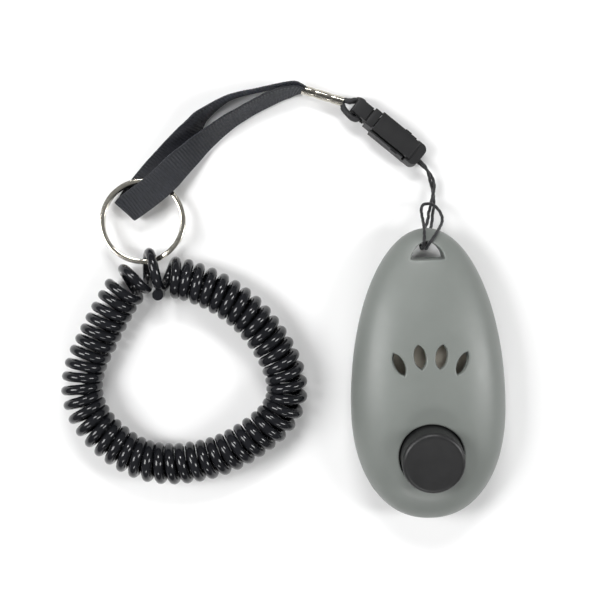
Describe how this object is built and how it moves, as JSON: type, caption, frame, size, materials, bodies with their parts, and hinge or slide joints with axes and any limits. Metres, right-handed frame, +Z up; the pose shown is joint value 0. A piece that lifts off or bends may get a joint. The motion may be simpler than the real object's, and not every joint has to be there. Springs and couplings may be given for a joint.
{
  "type": "pet training clicker",
  "caption": "Egg-shaped pet training clicker with a thumb button, on a hitched cord with a quick-release buckle, ribbon strap, split ring and coiled wrist band.",
  "frame": {"origin": "middle of the flat on the clicker's back, where it rests", "axes": "+Z up through the button side; +Y from the button end to the cord slot end; +X to the right, seen from above with the slot end away"},
  "size_m": [0.1039, 0.1024, 0.0206],
  "materials": {
    "grey_shell": "satin moulded plastic",
    "black_plastic": "fine matte moulded plastic",
    "spring_steel": "blued brown spring steel",
    "screw_steel": "zinc plated",
    "nickel": "polished nickel plate",
    "black_cord": "waxed braided cord",
    "black_ribbon": "ribbed woven ribbon",
    "black_band": "glossy flexible polymer"
  },
  "bodies": {
    "clicker": {"front_shell": "grey_shell", "rear_shell": "grey_shell", "case_screws": "screw_steel", "blade_clamp": "grey_shell", "clamp_screws": "screw_steel", "hitch_cord": "black_cord"},
    "button": {"button_cap": "black_plastic"},
    "blade": {"click_blade": "spring_steel"},
    "lanyard": {"lead_cord": "black_cord", "buckle_body": "black_plastic"},
    "insert": {"buckle_insert": "black_plastic"},
    "latch_left": {"buckle_latch_left": "black_plastic"},
    "latch_right": {"buckle_latch_right": "black_plastic"},
    "strap": {"link_loop": "black_cord", "crimp_ferrule": "nickel", "ribbon_strap": "black_ribbon"},
    "ring": {"split_ring": "nickel"},
    "band": {"coil_link_turn": "black_band", "wrist_coil": "black_band", "coil_join": "black_band"}
  },
  "joints": [
    {"name": "button_press", "type": "slide", "parent": "clicker", "child": "button", "axis": [0, 0.1392, -0.9903], "range_m": [0, 0.0025], "stiffness_N_per_m": 1200, "springref_m": -0.0004},
    {"name": "blade_flex", "type": "hinge", "parent": "clicker", "child": "blade", "pos_m": [0, 0.013, 0.00885], "axis": [1, 0, 0], "range_deg": [0, 5]},
    {"name": "lanyard_swing", "type": "hinge", "parent": "clicker", "child": "lanyard", "pos_m": [0.0016, 0.0371, 0.00255], "axis": [0, 0, 1], "range_deg": [-20, 2]},
    {"name": "buckle_release", "type": "slide", "parent": "lanyard", "child": "insert", "axis": [-0.7649, 0.6441, 0], "range_m": [0, 0.012]},
    {"name": "latch_left_squeeze", "type": "hinge", "parent": "insert", "child": "latch_left", "pos_m": [-0.00897, 0.06057, 0.00242], "axis": [-0.1667, -0.198, -0.9659], "range_deg": [0, 1.8], "stiffness_Nm_per_rad": 0.02},
    {"name": "latch_right_squeeze", "type": "hinge", "parent": "insert", "child": "latch_right", "pos_m": [-0.01233, 0.05658, 0.00382], "axis": [0.1667, 0.198, 0.9659], "range_deg": [0, 1.8]},
    {"name": "strap_swing", "type": "hinge", "parent": "insert", "child": "strap", "pos_m": [-0.01564, 0.0615, 0.00297], "axis": [0, 0, 1], "range_deg": [-15, 2], "deforming": ["link_loop"]},
    {"name": "ring_turn", "type": "hinge", "parent": "strap", "child": "ring", "pos_m": [-0.0656, 0.0369, 0.0036], "axis": [0, 0.1478, 0.989], "range_deg": [-8, 3]},
    {"name": "band_swing", "type": "hinge", "parent": "ring", "child": "band", "pos_m": [-0.064, 0.0275, 0.005], "axis": [0, 0, 1], "range_deg": [-12, 3], "deforming": ["coil_link_turn"]}
  ],
  "couplings": [
    {"joint": "blade_flex", "follows": "button_press", "rad_per_m": 32},
    {"joint": "latch_right_squeeze", "follows": "latch_left_squeeze", "ratio": 1}
  ]
}
